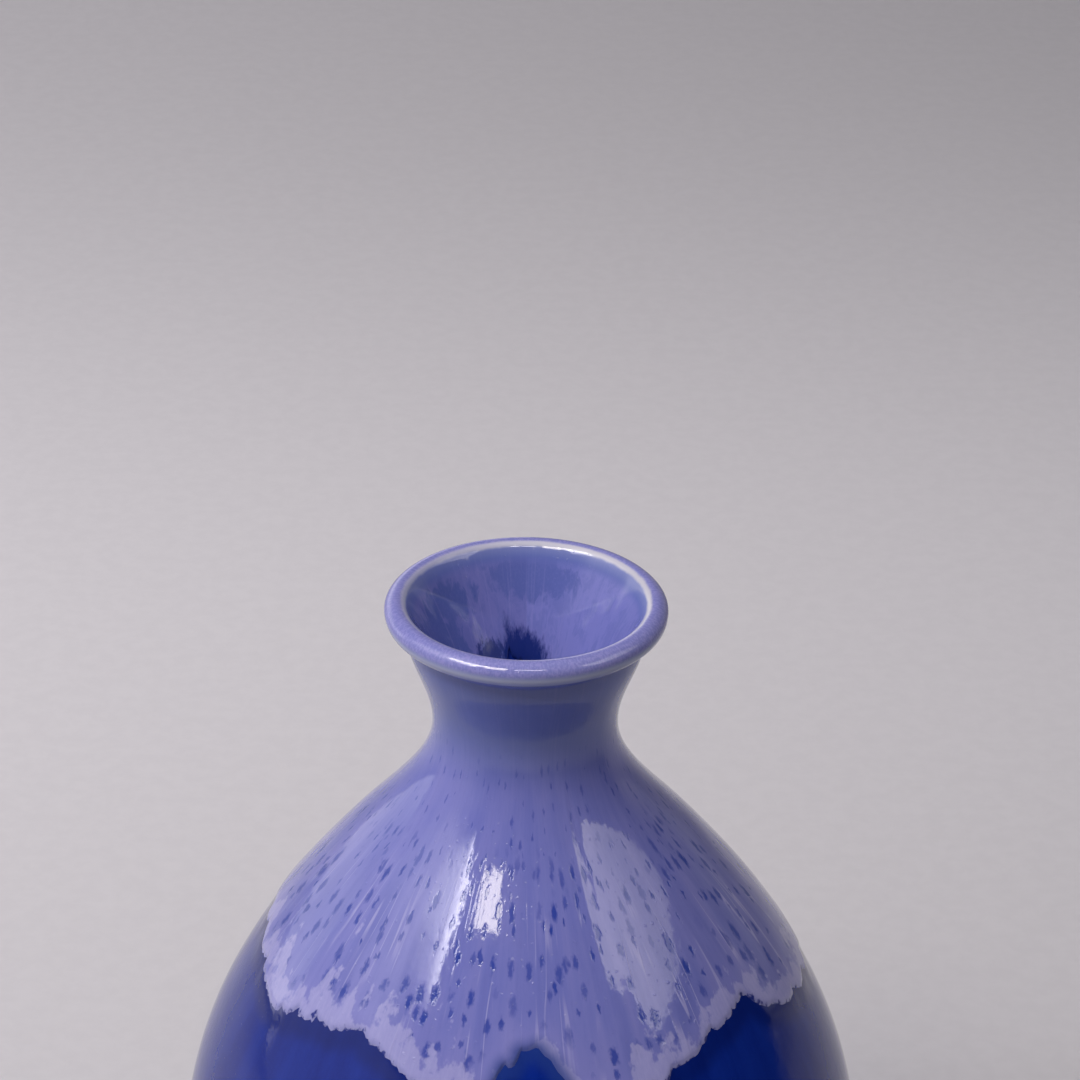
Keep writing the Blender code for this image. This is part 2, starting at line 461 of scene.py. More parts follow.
def lift_of_overglaze(run, turns, gap, throat_gap):
    lift = edge_profile(gap) + bead(run, *LIP_BEAD)
    throat_end = BASE_LIFT_HIGH * rounded_end(throat_gap, THROAT_ROUND)
    lift += np.where(run < 0, throat_end, bead(run, *SHOULDER_SWELLING))
    calm = smoothstep(0.0, 2.0, gap) * smoothstep(5.0, 14.0, np.abs(run))
    lift += calm * (ripple(turns, run, 7, 0.010) + throwing_rings(run, 0.004) + ridges(turns, run))
    return lift


def overglaze_piece(material):
    cols = 540
    turns = np.arange(cols) * 360.0 / cols
    drip = drip_run(turns)
    throat = throat_run(turns) - THROAT_VEIL
    low = skin.run_outside(LEVEL_OUTSIDE)
    high = skin.run_inside(LEVEL_INSIDE)
    lip = skin.run_outside(LIP_BOTTOM)

    def level_rows(first, last, count):
        return [np.full(cols, v) for v in np.linspace(first, last, count)[1:]]

    def between(first, last, count):
        return [first + (last - first) * k for k in np.linspace(0, 1, count)[1:]]

    rows = [throat + d for d in THROAT_ROWS] + between(throat + THROAT_ROWS[-1], high, 9)
    rows += level_rows(high, lip, 38) + level_rows(lip, low, 46)
    rows += between(low, drip - DRIP_ROWS[-1], 9) + [drip - d for d in DRIP_ROWS[::-1][1:]]
    run = np.stack(rows)
    lift = lift_of_overglaze(run, turns[None, :], drip - run, run - throat)
    radius, height = skin.at(run, lift)
    back = between(drip, low, 6) + level_rows(low, lip, 12) + level_rows(lip, high, 14)
    back += between(high, throat, 6)[:-1]
    back_run = np.stack(back)
    back_radius, back_height = skin.at(back_run, OVERGLAZE_BACK)
    all_radius = np.concatenate([radius, back_radius])
    all_height = np.concatenate([height, back_height])
    all_run = np.concatenate([run, back_run])
    edge_gap = gap_to_edge(all_radius, all_height, turns, drip_run)
    edge_gap[all_run < 10] = FAR
    throat_gap = gap_to_edge(all_radius, all_height, turns, throat_run)
    throat_gap *= np.where(all_run < throat_run(turns), -1, 1)
    throat_gap[all_run > -1] = FAR
    patterns = {
        "flow": flow_of(turns, all_run),
        "run": all_run,
        "edge_gap": edge_gap,
        "throat_gap": throat_gap,
    }
    slots = ("periwinkle_glaze", "overglaze")
    mesh_piece("overglaze_coat", all_radius, all_height, turns, True, material, *slots, patterns)


# Rows near the base coat's lower edge, at the foot.
FOOT_ROWS = np.array([3.0, 2.2, 1.6, 1.1, 0.75, 0.5, 0.3, 0.16, 0.06, 0.0])


def base_glaze_piece(material):
    cols = 360
    turns = np.arange(cols) * 360.0 / cols
    top = skin.run_outside(143.6 * SCALE)
    mid = skin.run_outside(101.0 * SCALE)
    wander = 0.5 * np.sin(np.radians(turns * 3 + 40)) + 0.35 * np.sin(np.radians(turns * 7))
    bottom = skin.run_outside((6.9 + wander) * SCALE)
    low = bottom - FOOT_ROWS[0]
    rows = [np.full(cols, v) for v in np.linspace(top, mid, 16)]
    rows += [mid + (low - mid) * k for k in np.linspace(0, 1, 88)[1:]]
    rows += [bottom - d for d in FOOT_ROWS[1:]]
    run = np.stack(rows)
    _, level = skin.at(run)
    gap = bottom - run
    lift = base_lift(level) + BASE_LIFT_HIGH * rounded_end(gap, FOOT_ROUND) + bead(gap, *FOOT_BEAD)
    calm = smoothstep(0.5, 3.0, gap) * smoothstep(0, 6, run - top)
    lift += calm * (ripple(turns[None, :], run, 19, 0.012) + throwing_rings(run, 0.010) - 0.03)
    # the coat rises a little where the overglaze's edge lies on it
    past = run - drip_run(turns)
    lift += bead(np.maximum(past, UNDERLAP[1]), *UNDERLAP) * smoothstep(-6, 0, past)
    radius, height = skin.at(run, lift)
    back_run = np.stack([bottom + (top - bottom) * k for k in np.linspace(0, 1, 40)])
    back_radius, back_height = skin.at(back_run, BASE_BACK)
    all_run = np.concatenate([run, back_run])
    all_radius = np.concatenate([radius, back_radius])
    all_height = np.concatenate([height, back_height])
    patterns = {
        "flow": flow_of(turns, all_run),
        "run": all_run,
        "edge_gap": gap_to_edge(all_radius, all_height, turns, drip_run),
        "foot_gap": bottom - all_run,
    }
    slots = ("cobalt_glaze", "base_glaze")
    mesh_piece("cobalt_base_coat", all_radius, all_height, turns, True, material, *slots, patterns)


LINER_FRONT = -0.42
LINER_BACK = -1.12


def liner_piece(material):
    cols = 240
    turns = np.arange(cols) * 360.0 / cols
    wall = skin.run_inside(30 * SCALE)
    top = skin.run_inside(143.4 * SCALE)
    rows = np.concatenate([np.linspace(skin.first, wall, 30), np.linspace(wall, top, 70)[1:]])
    run = np.broadcast_to(rows[:, None], (len(rows), cols))
    lift = LINER_FRONT - 0.28 * smoothstep(128 * SCALE, 118 * SCALE, skin.at(run)[1])
    radius, height = skin.at(run, lift)
    back_rows = np.concatenate([rows[::-2][:-1], [skin.first]])
    back_run = np.broadcast_to(back_rows[:, None], (len(back_rows), cols))
    back_radius, back_height = skin.at(back_run, LINER_BACK)
    all_radius = np.concatenate([radius, back_radius])
    all_radius[0] = all_radius[-1] = 0.0
    all_height = np.concatenate([height, back_height])
    all_run = np.concatenate([run, back_run])
    patterns = {"flow": flow_of(turns, all_run), "run": all_run}
    slots = ("cobalt_liner_glaze", "liner_glaze")
    mesh_piece("liner_coat", all_radius, all_height, turns, False, material, *slots, patterns)


# The foot ring's radii, and the recess inside it: radius, height at its side, and rise to the middle.
FOOT_OUTER = 30.0
FOOT_INNER = 26.5
RECESS_RADIUS = 25.0
RECESS_HEIGHT = 4.8
RECESS_RISE = 0.8
RECESS_GLAZE_RADIUS = 23.8
CLAY_LIFT = -1.06


def arc(centre, radius, first, last, count):
    turns = np.radians(np.linspace(first, last, count))
    return np.stack([centre[0] + radius * np.cos(turns), centre[1] + radius * np.sin(turns)], 1)


def recess_height(radius):
    return RECESS_HEIGHT + RECESS_RISE * (1 - (radius / RECESS_RADIUS) ** 2)


def clay_piece(material):
    """The bare pot: hidden by glaze but for its foot, where trimming and grog show."""
    cols = 288
    turns = np.arange(cols) * 360.0 / cols
    throat = skin.run_inside(128 * SCALE)
    lip = skin.run_outside(144 * SCALE)
    waist = skin.run_outside(14 * SCALE)
    stops = (skin.first, throat, lip, waist, skin.last)
    runs = [np.linspace(a, b, n) for a, b, n in zip(stops, stops[1:], (60, 60, 80, 24))]
    run = np.concatenate([runs[0]] + [part[1:] for part in runs[1:]])
    near_lip = smoothstep(144.7 * SCALE, 146.0 * SCALE, skin.at(run)[1])
    path = np.stack(skin.at(run, CLAY_LIFT + 0.45 * near_lip), 1)
    path[0, 0] = 0.0
    foot = np.concatenate(
        [
            np.array([[FOOT_OUTER + 0.9, 4.6], [FOOT_OUTER + 0.3, 3.9], [FOOT_OUTER + 0.05, 3.2]]),
            np.array([[FOOT_OUTER, 2.4], [FOOT_OUTER, 1.6]]),
            arc((FOOT_OUTER - 0.8, 0.8), 0.8, 0, -90, 7),
            np.array([[FOOT_OUTER - 1.6, 0.0], [FOOT_INNER + 1.5, 0.0]]),
            arc((FOOT_INNER + 0.7, 0.7), 0.7, -90, -180, 6),
            np.array([[FOOT_INNER - 0.25, 1.6], [FOOT_INNER - 0.7, 2.9], [FOOT_INNER - 1.15, 4.1]]),
            np.array([[RECESS_RADIUS - 0.2, RECESS_HEIGHT - 0.12], [RECESS_RADIUS - 0.9, RECESS_HEIGHT]]),
        ]
    )
    inward = np.linspace(RECESS_RADIUS - 1.6, 0.0, 22)
    path = np.concatenate([path, foot * SCALE, np.stack([inward, recess_height(inward)], 1) * SCALE])
    radius = np.broadcast_to(path[:, :1], (len(path), cols)).copy()
    height = np.broadcast_to(path[:, 1:], (len(path), cols)).copy()
    side = (height > 1.0 * SCALE) & (height < 4.4 * SCALE) & (radius > 20 * SCALE)
    radius += side * (0.05 * np.sin(np.radians(turns * 9)) - 0.04)
    slots = ("stoneware", "clay_body")
    mesh_piece("stoneware_body", radius, height, turns, False, material, *slots, {})


def foot_glaze_piece(material):
    cols = 192
    turns = np.arange(cols) * 360.0 / cols
    edge = RECESS_GLAZE_RADIUS
    out = np.linspace(0, edge - 0.4, 26)
    top = np.stack([out, recess_height(out) + 0.04], 1)
    rim_radius = np.array([edge, edge + 0.05, edge - 0.12])
    rim = np.stack([rim_radius, recess_height(np.array([edge, edge, edge])) - (0.02, 0.22, 0.42)], 1)
    back = np.linspace(edge - 0.4, 0, 40)
    swollen = bead(back, 0.12, edge - 1.4, 0.9)
    bottom = np.stack([back, recess_height(back) - 0.5 - swollen], 1)
    path = np.concatenate([top, rim, bottom]) * SCALE
    radius = np.broadcast_to(path[:, :1], (len(path), cols)).copy()
    height = np.broadcast_to(path[:, 1:], (len(path), cols)).copy()
    wobble = smoothstep(18, 24, radius) * 0.25 * np.sin(np.radians(turns * 5 + 20))
    radius = np.maximum(radius - np.abs(wobble), 0)
    patterns = {"flow": flow_of(turns, radius), "run": radius}
    slots = ("cobalt_foot_glaze", "foot_glaze")
    mesh_piece("foot_recess_coat", radius, height, turns, False, material, *slots, patterns)


# ---------------------------------------------------------------- materials
class Graph:
    """A short way to write a node tree: each method adds a node and returns its output."""

    def __init__(self, tree):
        self.tree = tree
        tree.nodes.clear()

    def link(self, value, socket):
        if isinstance(value, bpy.types.NodeSocket):
            self.tree.links.new(value, socket)
        elif socket.type == "RGBA" and len(value) == 3:
            socket.default_value = (*value, 1.0)
        else:
            socket.default_value = value

    def node(self, kind, inputs=None, **settings):
        made = self.tree.nodes.new(kind)
        for key, value in settings.items():
            setattr(made, key, value)
        for key, value in (inputs or {}).items():
            self.link(value, made.inputs[key])
        return made

    def attribute(self, name, vector=False):
        made = self.node("ShaderNodeAttribute", attribute_name=name)
        return made.outputs["Vector" if vector else "Fac"]

    def math(self, operation, a, b=0.0, c=0.0):
        return self.node("ShaderNodeMath", {0: a, 1: b, 2: c}, operation=operation).outputs[0]

    def times(self, first, *others):
        for other in others:
            first = self.math("MULTIPLY", first, other)
        return first

    def line(self, value, slope, start):
        return self.math("MULTIPLY_ADD", value, slope, start)

    def apart(self, value, middle):
        return self.math("ABSOLUTE", self.math("SUBTRACT", value, middle))

    def round_apart(self, turn, middle):
        """Signed angle from the middle to the turn, from -180 to 180."""
        return self.math("WRAP", self.math("SUBTRACT", turn, middle), 180.0, -180.0)

    def stretch(self, vector, scale):
        made = self.node("ShaderNodeVectorMath", {0: vector, 1: scale}, operation="MULTIPLY")
        return made.outputs[0]

    def shift(self, vector, amount):
        made = self.node("ShaderNodeVectorMath", {0: vector, 1: amount}, operation="ADD")
        return made.outputs[0]

    def noise(self, vector, scale, detail=2.0, roughness=0.5, distortion=0.0, colour=False):
        made = self.node(
            "ShaderNodeTexNoise",
            {
                "Vector": vector,
                "Scale": scale,
                "Detail": detail,
                "Roughness": roughness,
                "Distortion": distortion,
            },
        )
        return made.outputs["Color" if colour else "Fac"]

    def field(self, flow, scale, offset=None, detail=2.0, roughness=0.5, distortion=0.0):
        """Noise over the pot, by its scales round it, across it and along its run."""
        place = self.stretch(flow, scale)
        if offset:
            place = self.shift(place, offset)
        return self.noise(place, 1.0, detail, roughness, distortion)

    def step(self, value, low, high, to_low=0.0, to_high=1.0):
        made = self.node(
            "ShaderNodeMapRange",
            {"Value": value, "From Min": low, "From Max": high, "To Min": to_low, "To Max": to_high},
            interpolation_type="SMOOTHSTEP",
        )
        return made.outputs[0]

    def band(self, value, a, b, c, d):
        """0 up to a, 1 from b to c, and 0 from d on."""
        return self.times(self.step(value, a, b), self.step(value, d, c))

    def mix(self, share, a, b):
        made = self.node("ShaderNodeMix", data_type="RGBA")
        self.link(share, made.inputs[0])
        self.link(a, made.inputs[6])
        self.link(b, made.inputs[7])
        return made.outputs[2]

    def bump(self, height, strength, distance, normal=None):
        inputs = {"Height": height, "Strength": strength, "Distance": distance}
        if normal is not None:
            inputs["Normal"] = normal
        return self.node("ShaderNodeBump", inputs).outputs[0]


def new_material(name):
    made = bpy.data.materials.new(name)
    made.use_nodes = True
    return made, Graph(made.node_tree)


GLAZE_IOR = 1.55


def finish_material(graph, colour, roughness, normal, ior=GLAZE_IOR):
    shader = graph.node(
        "ShaderNodeBsdfPrincipled",
        {"Base Color": colour, "Roughness": roughness, "Normal": normal, "IOR": ior, "Metallic": 0.0},
    )
    graph.node("ShaderNodeOutputMaterial", {"Surface": shader.outputs[0]})


# Colours of the periwinkle coat
PERIWINKLE = (0.150, 0.168, 0.500)
PERIWINKLE_THIN = (0.108, 0.145, 0.440)
PERIWINKLE_LIGHT = (0.270, 0.265, 0.600)
PERIWINKLE_DEEP = (0.100, 0.118, 0.405)
# painted light: a shaded and a lit copy of the colour inside the throat, for its left and right walls
PERIWINKLE_INSIDE_SHADED = (0.155, 0.166, 0.470)
PERIWINKLE_INSIDE_LIT = (0.180, 0.195, 0.540)
THIN_DEEP = (0.070, 0.105, 0.360)
VEIL_DEEP = (0.020, 0.050, 0.250)
EDGE_CLAY = (0.400, 0.440, 0.640)
BORDER = (0.335, 0.335, 0.640)
RIM_BREAK = (0.56, 0.56, 0.64)
SPECK = (0.024, 0.050, 0.330)
# and of the cobalt coats
COBALT = (0.0012, 0.0140, 0.205)
COBALT_LIGHT = (0.0035, 0.0220, 0.255)
COBALT_GRAIN = (0.006, 0.030, 0.29)
COBALT_THROAT = (0.003, 0.016, 0.150)
# painted shade of the cobalt along the overglaze's edge
COBALT_SHADED = (0.0010, 0.0085, 0.120)
COBALT_VEIL = (0.016, 0.042, 0.235)
COBALT_THIN = (0.17, 0.15, 0.24)

# Marks: cell and half size as (degrees, millimetres), seed, share of the cells that hold one.
UPPER_SPECKS = ((5.0, 3.6), (0.62, 0.72), 3.3, 0.62)
LOWER_SPECKS = ((4.6, 4.3), (0.86, 1.25), 8.1, 0.76)
LARGE_SPECKS = ((7.9, 6.8), (0.85, 1.15), 21.7, 0.50)
BLISTERS = ((2.6, 1.7), (0.30, 0.16), 5.0, 0.35)
PITS = ((2.3, 1.6), (0.10, 0.07), 5.0, 0.5)

# Scales of the patterns: round the pot for its two axes, then along the run per 100 mm.
CLOUDS = (4.0, 4.0, 5.0)
BROAD_RUNS = (10.0, 10.0, 1.8)
FINE_RUNS = (48.0, 48.0, 5.0)
MOTTLE = (80.0, 80.0, 60.0)
SPECKLE = (60.0, 60.0, 200.0)
VEINS = (10.0, 10.0, 1.6)
VEIN_GAPS = (8.0, 8.0, 7.0)
PATCHES = (8.5, 8.5, 17.0)
PATCH_DEPTHS = (4.5, 4.5, 1.0)
BITES = (52.0, 52.0, 100.0)
RIM_WANDER = (9.0, 9.0, 60.0)
SPILLS = (9.0, 9.0, 26.0)
ROUGH_EDGES = (24.0, 24.0, 70.0)
COAT_RELIEF = (24.0, 24.0, 62.0)
COBALT_TONES = (9.0, 9.0, 3.0)
COBALT_SPECKLE = (90.0, 90.0, 200.0)
COBALT_RELIEF = (26.0, 26.0, 60.0)

# Turns of the notch in the drip edge, at the front, and of the widest part of the pale border.
NOTCH = 3.0
WIDE_BORDER = -48.0
# Turn where the rim is palest.
PALEST_RIM_TURN = 128.0


def polar(graph):
    """Turn in degrees and run in millimetres at the shaded point, with the turn's jump at the back."""
    flow = graph.attribute("flow", vector=True)
    parts = graph.node("ShaderNodeSeparateXYZ", {0: flow})
    turn = graph.math("ARCTAN2", parts.outputs[0], graph.times(parts.outputs[1], -1.0))
    return flow, graph.times(turn, 180 / math.pi), graph.attribute("run")


def specks(graph, turn, run, cell, half, seed, share):
    """Ragged marks scattered one to a cell: up to 1 inside, 0 outside."""
    across = graph.line(turn, 1 / cell[0], seed)
    along = graph.line(run, 1 / cell[1], seed * 0.7)
    place = graph.node("ShaderNodeCombineXYZ", {0: across, 1: along, 2: 0.0}).outputs[0]
    cells = {"Vector": place, "Scale": 1.0, "Randomness": 0.85}
    voronoi = graph.node("ShaderNodeTexVoronoi", cells, voronoi_dimensions="2D")
    centre = voronoi.outputs["Position"]
    away = graph.node("ShaderNodeVectorMath", {0: place, 1: centre}, operation="SUBTRACT").outputs[0]
    warp = graph.noise(graph.stretch(place, (5.0, 4.0, 1.0)), 1.0, 2.0, 0.5, colour=True)
    warp = graph.stretch(graph.shift(warp, (-0.5, -0.5, 0.0)), (0.42, 0.40, 0.0))
    away = graph.node("ShaderNodeVectorMath", {0: away, 1: warp}, operation="ADD").outputs[0]
    away = graph.stretch(away, (cell[0] / half[0], cell[1] / half[1], 0.0))
    near = graph.node("ShaderNodeVectorMath", {0: away}, operation="LENGTH").outputs["Value"]
    chance = graph.node("ShaderNodeSeparateColor", {0: voronoi.outputs["Color"]}).outputs
    size = graph.line(chance[1], 0.85, 0.45)
    mark = graph.step(graph.math("DIVIDE", near, size), 1.35, 0.45)
    there = graph.step(chance[0], share + 0.05, share - 0.05)
    strength = graph.line(chance[2], 0.40, 0.65)
    return graph.times(mark, graph.times(there, strength))


# Stains in the throat, those at negative turns on the left wall partly painted shade: turn, run, half
# width in degrees, half height in millimetres; then their weight.
THROAT_STAINS_AND_SHADE = (
    ((176, -5.8, 27, 3.6), 0.70),
    ((-128, -7.0, 20, 3.4), 0.85),
    ((-104, -12.0, 30, 6.5), 0.90),
    ((-152, -17.0, 14, 2.6), 0.80),
    ((158, -9.0, 7, 2.0), 0.35),
)
# A place left of the cobalt patch in the throat where cobalt breaks through too.
COBALT_BREAK = (-151.0, -16.2, 13.0, 2.0)


def stain(graph, turn, run, field, middle, level, half_turn, half_run):
    """A soft ragged patch round a point of the coat: 1 inside, 0 outside."""
    across = graph.math("DIVIDE", graph.round_apart(turn, middle), half_turn)
    along = graph.math("DIVIDE", graph.math("SUBTRACT", run, level), half_run)
    both = graph.node("ShaderNodeCombineXYZ", {0: across, 1: along, 2: 0.0}).outputs[0]
    away = graph.node("ShaderNodeVectorMath", {0: both}, operation="LENGTH").outputs["Value"]
    away = graph.math("ADD", away, graph.line(field, 2.0, -1.0))
    return graph.step(away, 1.15, 0.75)


def coat_tones(g, flow, run, fine, mottle):
    """Soft clouds, broad soft runs and a fine grain down the pot."""
    cloud = g.field(flow, CLOUDS, None, 3.0, 0.55)
    runs = g.field(flow, BROAD_RUNS)
    low = g.step(run, 32.0, 52.0)
    colour = g.mix(g.step(cloud, 0.35, 0.70), PERIWINKLE, g.mix(0.30, PERIWINKLE, PERIWINKLE_LIGHT))
    colour = g.mix(g.step(run, 17.0, 28.0), PERIWINKLE_THIN, colour)
    dark = g.times(g.step(runs, 0.52, 0.32), g.line(low, 0.26, 0.03))
    colour = g.mix(dark, colour, PERIWINKLE_DEEP)
    pale = g.times(g.step(runs, 0.48, 0.70), g.line(low, 0.30, 0.02))
    colour = g.mix(pale, colour, PERIWINKLE_LIGHT)
    colour = g.mix(g.times(g.step(fine, 0.50, 0.70), 0.06), colour, PERIWINKLE_LIGHT)
    colour = g.mix(g.times(g.step(fine, 0.48, 0.30), 0.09), colour, PERIWINKLE_DEEP)
    return g.mix(g.times(g.step(mottle, 0.48, 0.72), 0.12), colour, PERIWINKLE_DEEP)


def vein_marks(g, flow, run):
    """Thin pale veins reaching up from the border."""
    field = g.field(flow, VEINS, (7.0, 3.0, 1.0))
    gate = g.field(flow, VEIN_GAPS, (2.0, 8.0, 4.0))
    vein = g.step(g.apart(field, 0.5), 0.016, 0.003)
    return g.times(vein, g.step(gate, 0.44, 0.60), g.step(run, 36.0, 52.0))


def speck_marks(g, turn, run, edge_gap):
    """Cobalt breaking through as specks, small below the neck and longest low on the shoulder."""
    # no speck is cut by the jump of the turn at the back
    clear = g.times(g.step(edge_gap, 2.5, 5.0), g.step(g.math("ABSOLUTE", turn), 178.6, 177.0))
    upper = g.times(specks(g, turn, run, *UPPER_SPECKS), g.band(run, 19.0, 25.0, 38.0, 46.0))
    lower = g.times(specks(g, turn, run, *LOWER_SPECKS), g.step(run, 33.0, 39.0))
    large = g.times(specks(g, turn, run, *LARGE_SPECKS), g.step(run, 33.0, 40.0))
    marks = g.math("MAXIMUM", g.times(upper, 0.65), g.math("MAXIMUM", lower, large))
    return g.times(marks, clear)


def add_border(g, colour, flow, turn, edge_gap, mottle):
    """The pale border where the glaze gathered: flat ragged patches along the edge, bitten by cobalt."""
    patches = g.field(flow, PATCHES, (5.0, 1.0, 9.0), 4.0, 0.62)
    depth = g.field(flow, PATCH_DEPTHS, (3.0, 9.0, 2.0))
    depth = g.step(depth, 0.38, 0.60, 1.6, 6.0)
    from_notch = g.apart(turn, NOTCH)
    depth = g.times(depth, g.step(from_notch, 9.0, 20.0, 0.45, 1.0))
    depth = g.times(depth, g.step(g.apart(turn, WIDE_BORDER), 42.0, 22.0, 1.0, 1.9))
    need = g.line(g.math("DIVIDE", edge_gap, depth), 0.26, 0.32)
    border = g.step(g.math("SUBTRACT", patches, need), -0.035, 0.045)
    border = g.times(border, g.step(mottle, 0.2, 0.7, 0.92, 0.66))
    colour = g.mix(g.times(g.step(edge_gap, 6.5, 0.5), 0.30), colour, PERIWINKLE_LIGHT)
    colour = g.mix(border, colour, BORDER)
    notch = g.step(from_notch, 14.0, 7.0)
    bite = g.field(flow, BITES, (4.0, 2.0, 8.0))
    bite = g.line(bite, 3.0, g.line(notch, -0.8, -1.15))
    bare = g.step(g.math("SUBTRACT", bite, edge_gap), -0.40, 0.20)
    colour = g.mix(g.times(g.step(edge_gap, 1.5, 0.1), 0.25), colour, THIN_DEEP)
    colour = g.mix(g.times(notch, g.step(edge_gap, 3.0, 0.0, 0.0, 0.85)), colour, VEIL_DEEP)
    return g.mix(g.times(bare, 0.95), colour, COBALT)


def add_rim(g, colour, flow, turn, run, speckle):
    """The rim, where the glaze thins over an edge and pales, and the pale line under the lip."""
    rim = g.math("ABSOLUTE", g.math("ADD", run, 1.0))
    rim = g.math("SUBTRACT", rim, g.times(g.field(flow, RIM_WANDER), 0.4))
    rim_paleness = g.step(g.math("ABSOLUTE", g.round_apart(turn, PALEST_RIM_TURN)), 130.0, 20.0, 0.45, 0.90)
    halo = g.times(g.step(run, -3.4, -1.4), g.step(run, -0.6, -1.2))
    colour = g.mix(g.times(g.times(halo, rim_paleness), 0.30), colour, EDGE_CLAY)
    lip_face = g.times(g.step(run, -1.2, -0.6), g.step(run, 3.2, 2.4))
    lip_face = g.times(lip_face, g.step(speckle, 0.36, 0.62, 0.90, 0.50))
    colour = g.mix(lip_face, colour, PERIWINKLE_LIGHT)
    colour = g.mix(g.times(g.step(rim, 0.50, -0.05), rim_paleness), colour, RIM_BREAK)
    under_lip = g.times(g.step(run, 2.4, 3.4), g.step(run, 5.2, 3.9))
    return g.mix(g.times(under_lip, 0.85), colour, EDGE_CLAY)


def add_throat(g, colour, flow, turn, run, fine, speckle):
    """Inside the mouth: darker stains where the coat is thin, on the left wall partly painted shade; pale
    runs; painted light, lighter on the right wall than the left; and cobalt past its edge.
    """
    throat = g.step(run, -2.6, -4.4)
    spill = g.field(flow, SPILLS, (1.0, 1.0, 6.0), 5.0, 0.65, 0.5)
    # painted light: the right wall of the throat is painted lighter and the left wall darker, as the
    # light falls from the left
    inside = g.mix(g.step(turn, 20.0, 150.0), PERIWINKLE_INSIDE_SHADED, PERIWINKLE_INSIDE_LIT)
    colour = g.mix(throat, colour, inside)
    shade = g.times(g.step(spill, 0.44, 0.62), 0.28)
    # the stains at negative turns, on the left wall, are partly painted shade
    for place, weight in THROAT_STAINS_AND_SHADE:
        shade = g.math("MAXIMUM", shade, g.times(stain(g, turn, run, spill, *place), weight))
    shade = g.times(shade, g.step(speckle, 0.25, 0.55, 0.75, 1.0))
    colour = g.mix(g.times(shade, throat), colour, THIN_DEEP)
    colour = g.mix(g.times(g.times(g.step(fine, 0.56, 0.70), 0.16), throat), colour, PERIWINKLE_LIGHT)
    rough = g.field(flow, ROUGH_EDGES, None, 3.0, 0.6)
    ragged = g.line(g.math("ADD", spill, rough), 3.0, -3.0)
    thin = g.step(g.math("ADD", g.attribute("throat_gap"), ragged), 1.1, -1.0)
    thin = g.math("MAXIMUM", thin, g.times(stain(g, turn, run, rough, *COBALT_BREAK), 0.85))
    return g.mix(g.times(thin, 0.95), colour, COBALT_THROAT)


def overglaze_material():
    material, g = new_material("periwinkle_overglaze")
    flow, turn, run = polar(g)
    edge_gap = g.attribute("edge_gap")
    fine = g.field(flow, FINE_RUNS)
    mottle = g.field(flow, MOTTLE, None, 3.0, 0.6)
    speckle = g.field(flow, SPECKLE, None, 2.0, 0.6)
    veins = vein_marks(g, flow, run)
    marks = speck_marks(g, turn, run, edge_gap)

    colour = coat_tones(g, flow, run, fine, mottle)
    colour = g.mix(g.times(veins, 0.75), colour, BORDER)
    colour = g.mix(g.times(marks, 0.92), colour, SPECK)
    colour = add_border(g, colour, flow, turn, edge_gap, mottle)
    colour = add_rim(g, colour, flow, turn, run, speckle)
    colour = add_throat(g, colour, flow, turn, run, fine, speckle)

    relief = g.field(flow, COAT_RELIEF, None, 1.5, 0.45)
    relief = g.times(relief, g.step(run, 8.0, 26.0, 0.3, 1.0))
    normal = g.bump(relief, 0.5, 0.035 * MM)
    normal = g.bump(specks(g, turn, run, *BLISTERS), 0.5, 0.04 * MM, normal)
    normal = g.bump(marks, 0.3, -0.06 * MM, normal)
    normal = g.bump(veins, 0.3, 0.05 * MM, normal)
    finish_material(g, colour, g.step(mottle, 0.3, 0.7, 0.045, 0.075), normal)
    return material


def cobalt_material(name, has_edges):
    material, g = new_material(name)
    flow, turn, run = polar(g)
    tone = g.field(flow, COBALT_TONES, None, 4.0, 0.6)
    grain = g.field(flow, COBALT_SPECKLE, None, 3.0, 0.6)
    colour = g.mix(g.step(tone, 0.35, 0.7), COBALT, COBALT_LIGHT)
    colour = g.mix(g.times(g.step(grain, 0.45, 0.75), 0.2), colour, COBALT_GRAIN)
    if has_edges:
        # painted shade, darker along the overglaze's edge, but veiled by it at the notch, and thin above
        # the foot
        edge_gap = g.attribute("edge_gap")
        notch = g.step(g.apart(turn, NOTCH), 14.0, 7.0)
        # painted shade: the cobalt is painted darker just below the overglaze's edge
        under = g.times(g.step(edge_gap, 3.6, 1.0), g.line(notch, -0.6, 0.6))
        colour = g.mix(under, colour, COBALT_SHADED)
        veil = g.times(notch, g.step(edge_gap, 2.4, 0.0))
        colour = g.mix(g.times(veil, 0.8), colour, COBALT_VEIL)
        foot = g.step(g.attribute("foot_gap"), 1.3, 0.2)
        colour = g.mix(g.times(foot, 0.65), colour, COBALT_THIN)
    normal = g.bump(g.field(flow, COBALT_RELIEF), 0.5, 0.05 * MM)
    normal = g.bump(specks(g, turn, run, *PITS), 0.3, -0.05 * MM, normal)
    finish_material(g, colour, g.step(grain, 0.3, 0.7, 0.04, 0.08), normal)
    return material


# Colours of the fired clay, of the darker grain in it and of the grog.
CLAY_DARK = (0.40, 0.30, 0.21)
CLAY_PALE = (0.58, 0.47, 0.36)
CLAY_GRAIN = (0.28, 0.20, 0.13)
CLAY_GROG = (0.13, 0.09, 0.06)
CLAY_IOR = 1.45


